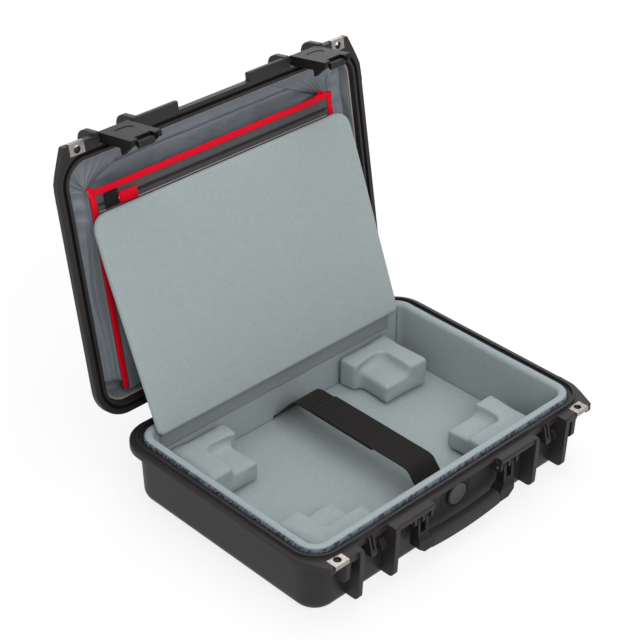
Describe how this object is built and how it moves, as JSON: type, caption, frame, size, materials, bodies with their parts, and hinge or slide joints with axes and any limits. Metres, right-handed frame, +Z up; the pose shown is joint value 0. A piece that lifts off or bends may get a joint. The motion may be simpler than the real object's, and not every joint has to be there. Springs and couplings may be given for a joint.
{
  "type": "laptop hard case",
  "caption": "Hard-shell laptop carrying case, open: black moulded shells, sprung trigger latches, fold-down handle, grey padded lining, folding divider and zipped lid pocket.",
  "frame": {"origin": "middle of the base's underside, where the case stands", "axes": "+X to the right seen from the latches, +Y back towards the hinge, +Z up"},
  "size_m": [0.504, 0.4861, 0.4629],
  "materials": {
    "shell_black": "moulded, fine grain",
    "latch_black": "satin",
    "gasket_rubber": "matt",
    "grip_rubber": "matt",
    "hasp_steel": "brushed",
    "pin_steel": "ground",
    "foam_fabric": "brushed loop knit over foam",
    "loop_fabric": "hook-and-loop",
    "lining_nylon": "woven nylon",
    "pocket_mesh": "woven nylon",
    "zip_tape": "zip tape",
    "red_binding": "grosgrain",
    "strap_webbing": "hook-and-loop webbing"
  },
  "bodies": {
    "base": {"base_shell": "shell_black", "hinge_pin_left": "pin_steel", "hinge_pin_right": "pin_steel", "base_hasp_left": "hasp_steel", "base_hasp_right": "hasp_steel", "handle_pin_left": "pin_steel", "handle_pin_right": "pin_steel", "valve_body": "grip_rubber", "valve_cap": "shell_black", "base_liner": "foam_fabric", "liner_band": "loop_fabric", "floor_pad": "foam_fabric", "pad_rear_left": "foam_fabric", "pad_rear_right": "foam_fabric", "pad_front_left": "foam_fabric", "pad_front_right": "foam_fabric", "strap_rear": "strap_webbing", "strap_front": "strap_webbing", "divider_hinge": "lining_nylon"},
    "lid": {"lid_shell": "shell_black", "lid_gasket": "gasket_rubber", "lid_hasp_left": "hasp_steel", "lid_hasp_right": "hasp_steel", "latch_pin_left": "pin_steel", "latch_pin_right": "pin_steel", "lid_liner": "lining_nylon", "lid_piping": "lining_nylon", "pouch_back": "lining_nylon", "pouch_front": "pocket_mesh", "pouch_binding": "red_binding", "pouch_zip": "zip_tape", "pouch_gusset": "lining_nylon"},
    "latch_left": {"latch_left": "latch_black", "trigger_pin_left": "pin_steel", "trigger_spring_left": "pin_steel"},
    "latch_right": {"latch_right": "latch_black", "trigger_pin_right": "pin_steel", "trigger_spring_right": "pin_steel"},
    "trigger_left": {"latch_trigger_left": "latch_black"},
    "trigger_right": {"latch_trigger_right": "latch_black"},
    "handle": {"handle": "latch_black", "handle_grip": "grip_rubber"},
    "divider": {"divider_panel": "foam_fabric"},
    "zip": {"zip_slider": "pin_steel", "zip_pull": "strap_webbing", "tab_red": "red_binding"}
  },
  "joints": [
    {"name": "lid_hinge", "type": "hinge", "parent": "base", "child": "lid", "pos_m": [0, 0.1907, 0.0821], "axis": [1, 0, 0], "range_deg": [0, 100]},
    {"name": "handle_swing", "type": "hinge", "parent": "base", "child": "handle", "pos_m": [0, -0.178, 0.0744], "axis": [-1, 0, 0], "range_deg": [0, 90]},
    {"name": "divider_fold", "type": "hinge", "parent": "base", "child": "divider", "pos_m": [0, 0.141, 0.093], "axis": [1, 0, 0], "range_deg": [0, 112.4]},
    {"name": "zip_slide", "type": "slide", "parent": "lid", "child": "zip", "axis": [1, 0, 0], "range_m": [0, 0.338]},
    {"name": "latch_left_swing", "type": "hinge", "parent": "lid", "child": "latch_left", "pos_m": [0, 0.26876, 0.44476], "axis": [-1, 0, 0], "range_deg": [0, 110]},
    {"name": "trigger_left_press", "type": "hinge", "parent": "latch_left", "child": "trigger_left", "pos_m": [0, 0.22059, 0.45376], "axis": [1, 0, 0], "range_deg": [0, 11], "stiffness_Nm_per_rad": 0.02, "springref_deg": -8.59},
    {"name": "latch_right_swing", "type": "hinge", "parent": "lid", "child": "latch_right", "pos_m": [0, 0.26876, 0.44476], "axis": [-1, 0, 0], "range_deg": [0, 110]},
    {"name": "trigger_right_press", "type": "hinge", "parent": "latch_right", "child": "trigger_right", "pos_m": [0, 0.22059, 0.45376], "axis": [1, 0, 0], "range_deg": [0, 11], "stiffness_Nm_per_rad": 0.02, "springref_deg": -8.59}
  ],
  "couplings": [
    {"joint": "divider_fold", "follows": "lid_hinge", "ratio": 1.124}
  ]
}
